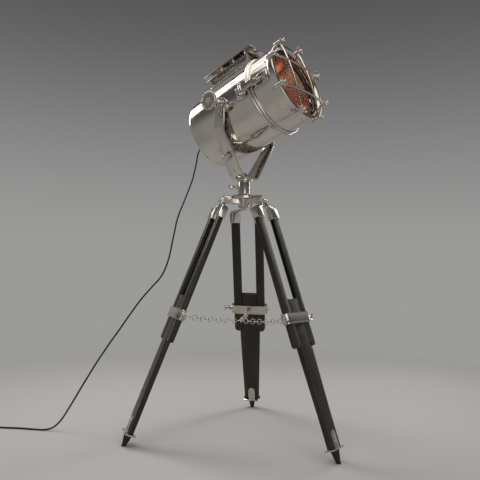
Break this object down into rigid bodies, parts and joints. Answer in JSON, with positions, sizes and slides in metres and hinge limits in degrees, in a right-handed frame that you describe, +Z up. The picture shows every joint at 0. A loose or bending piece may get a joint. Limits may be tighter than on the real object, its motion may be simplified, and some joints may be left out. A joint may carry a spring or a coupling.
{
  "type": "tripod spotlight floor lamp",
  "caption": "Floor lamp with a tilting drum-shaped spotlight in a yoke on a folding wooden tripod with sliding legs.",
  "frame": {"origin": "floor, under the middle of the box round the lamp without its cord", "axes": "+X the way the head and the front leg point, +Y to the head's left, +Z up"},
  "size_m": [1.3455, 1.1311, 1.5643],
  "materials": {
    "polished_nickel": "polished nickel plate",
    "nickel_shell": "polished nickel plate on sheet metal",
    "copper": "polished copper",
    "clear_glass": "clear",
    "opal_glass": "opal",
    "dark_ceramic": "glazed",
    "black_wood": "black satin stain",
    "black_rubber": "matte",
    "black_cable": "satin sheath",
    "black_plastic": "moulded"
  },
  "bodies": {
    "hub_body": {"hub": "polished_nickel", "post": "polished_nickel", "front_hinge_bolt": "polished_nickel", "back_hinge_bolt": "polished_nickel", "left_hinge_bolt": "polished_nickel"},
    "post_screw": {"pan_lock_screw": "polished_nickel"},
    "yoke_body": {"yoke": "polished_nickel", "yoke_spigot": "polished_nickel", "arm_knob": "polished_nickel", "cord": "black_cable", "cord_coil": "black_cable", "plug": "black_plastic"},
    "drum_body": {"drum_shell": "nickel_shell", "rear_cover": "nickel_shell", "flange_ring": "nickel_shell", "pivot_studs": "polished_nickel", "hand_wheels": "nickel_shell", "vent_base": "nickel_shell", "vent_stack": "nickel_shell", "latch_base": "polished_nickel", "reflector": "copper", "lamp_holder": "dark_ceramic", "bulb": "opal_glass", "door_hinge_fixed": "polished_nickel", "gland": "black_rubber"},
    "near_tilt_nut_body": {"near_tilt_nut": "polished_nickel"},
    "far_tilt_nut_body": {"far_tilt_nut": "polished_nickel"},
    "door_body": {"hood": "nickel_shell", "bezel": "nickel_shell", "glass": "clear_glass", "glass_seal": "black_rubber", "guard": "polished_nickel", "guard_wing_nuts": "polished_nickel", "latch_keeper": "polished_nickel", "door_hinge_moving": "polished_nickel"},
    "latch_body": {"latch_strap": "polished_nickel"},
    "front_leg_body": {"front_ferrules": "polished_nickel", "front_rails": "black_wood", "front_clamp": "polished_nickel"},
    "front_lower_body": {"front_lower_leg": "black_wood", "front_shoe": "polished_nickel", "front_tip": "black_rubber"},
    "front_clamp_screw_body": {"front_clamp_screw": "polished_nickel"},
    "front_chain_body": {"front_chain": "polished_nickel"},
    "back_leg_body": {"back_ferrules": "polished_nickel", "back_rails": "black_wood", "back_clamp": "polished_nickel"},
    "back_lower_body": {"back_lower_leg": "black_wood", "back_shoe": "polished_nickel", "back_tip": "black_rubber"},
    "back_clamp_screw_body": {"back_clamp_screw": "polished_nickel"},
    "back_chain_body": {"back_chain": "polished_nickel"},
    "left_leg_body": {"left_ferrules": "polished_nickel", "left_rails": "black_wood", "left_clamp": "polished_nickel"},
    "left_lower_body": {"left_lower_leg": "black_wood", "left_shoe": "polished_nickel", "left_tip": "black_rubber"},
    "left_clamp_screw_body": {"left_clamp_screw": "polished_nickel"},
    "left_chain_body": {"left_chain": "polished_nickel"}
  },
  "joints": [
    {"name": "post_screw_turn", "type": "hinge", "parent": "hub_body", "child": "post_screw", "pos_m": [-0.1008, 0, 0.99835], "axis": [-0.809, -0.5878, 0], "continuous": true},
    {"name": "pan", "type": "hinge", "parent": "hub_body", "child": "yoke_body", "pos_m": [-0.1008, 0, 1.03], "axis": [0, 0, 1], "range_deg": [-175, 175]},
    {"name": "tilt", "type": "hinge", "parent": "yoke_body", "child": "drum_body", "pos_m": [-0.1008, 0, 1.3], "axis": [0, 1, 0], "range_deg": [-20, 50]},
    {"name": "near_tilt_nut_turn", "type": "hinge", "parent": "yoke_body", "child": "near_tilt_nut_body", "pos_m": [-0.1008, -0.17, 1.3], "axis": [0, -1, 0], "continuous": true},
    {"name": "far_tilt_nut_turn", "type": "hinge", "parent": "yoke_body", "child": "far_tilt_nut_body", "pos_m": [-0.1008, 0.17, 1.3], "axis": [0, 1, 0], "continuous": true},
    {"name": "door", "type": "hinge", "parent": "drum_body", "child": "door_body", "pos_m": [0.03639, 0.172, 1.34994], "axis": [-0.342, 0, 0.9397], "range_deg": [0, 90]},
    {"name": "latch", "type": "hinge", "parent": "drum_body", "child": "latch_body", "pos_m": [0.00445, -0.172, 1.33831], "axis": [0.342, 0, -0.9397], "range_deg": [0, 100]},
    {"name": "front_leg_fold", "type": "hinge", "parent": "hub_body", "child": "front_leg_body", "pos_m": [-0.0108, 0, 0.939], "axis": [0, 1, 0], "range_deg": [0, 21]},
    {"name": "front_leg_slide", "type": "slide", "parent": "front_leg_body", "child": "front_lower_body", "axis": [-0.3597, 0, 0.9331], "range_m": [0, 0.3]},
    {"name": "front_clamp_screw_turn", "type": "hinge", "parent": "front_leg_body", "child": "front_clamp_screw_body", "pos_m": [0.16366, 0.079, 0.48646], "axis": [0, 1, 0], "continuous": true},
    {"name": "front_chain_swing", "type": "hinge", "parent": "front_leg_body", "child": "front_chain_body", "pos_m": [0.13753, 0, 0.47639], "axis": [0, -1, 0], "range_deg": [0, 100.8]},
    {"name": "back_leg_fold", "type": "hinge", "parent": "hub_body", "child": "back_leg_body", "pos_m": [-0.1458, 0.07794, 0.939], "axis": [-0.866, -0.5, 0], "range_deg": [0, 21]},
    {"name": "back_leg_slide", "type": "slide", "parent": "back_leg_body", "child": "back_lower_body", "axis": [0.1799, -0.3115, 0.9331], "range_m": [0, 0.3]},
    {"name": "back_clamp_screw_turn", "type": "hinge", "parent": "back_leg_body", "child": "back_clamp_screw_body", "pos_m": [-0.30145, 0.18953, 0.48646], "axis": [-0.866, -0.5, 0], "continuous": true},
    {"name": "back_chain_swing", "type": "hinge", "parent": "back_leg_body", "child": "back_chain_body", "pos_m": [-0.21997, 0.2064, 0.47639], "axis": [0.866, 0.5, 0], "range_deg": [0, 100.8]},
    {"name": "left_leg_fold", "type": "hinge", "parent": "hub_body", "child": "left_leg_body", "pos_m": [-0.1458, -0.07794, 0.939], "axis": [0.866, -0.5, 0], "range_deg": [0, 21]},
    {"name": "left_leg_slide", "type": "slide", "parent": "left_leg_body", "child": "left_lower_body", "axis": [0.1799, 0.3115, 0.9331], "range_m": [0, 0.3]},
    {"name": "left_clamp_screw_turn", "type": "hinge", "parent": "left_leg_body", "child": "left_clamp_screw_body", "pos_m": [-0.16461, -0.26853, 0.48646], "axis": [0.866, -0.5, 0], "continuous": true},
    {"name": "left_chain_swing", "type": "hinge", "parent": "left_leg_body", "child": "left_chain_body", "pos_m": [-0.21997, -0.2064, 0.47639], "axis": [-0.866, 0.5, 0], "range_deg": [0, 100.8]}
  ],
  "couplings": [
    {"joint": "front_chain_swing", "follows": "front_leg_fold", "ratio": 4.8},
    {"joint": "back_chain_swing", "follows": "back_leg_fold", "ratio": 4.8},
    {"joint": "left_chain_swing", "follows": "left_leg_fold", "ratio": 4.8}
  ]
}
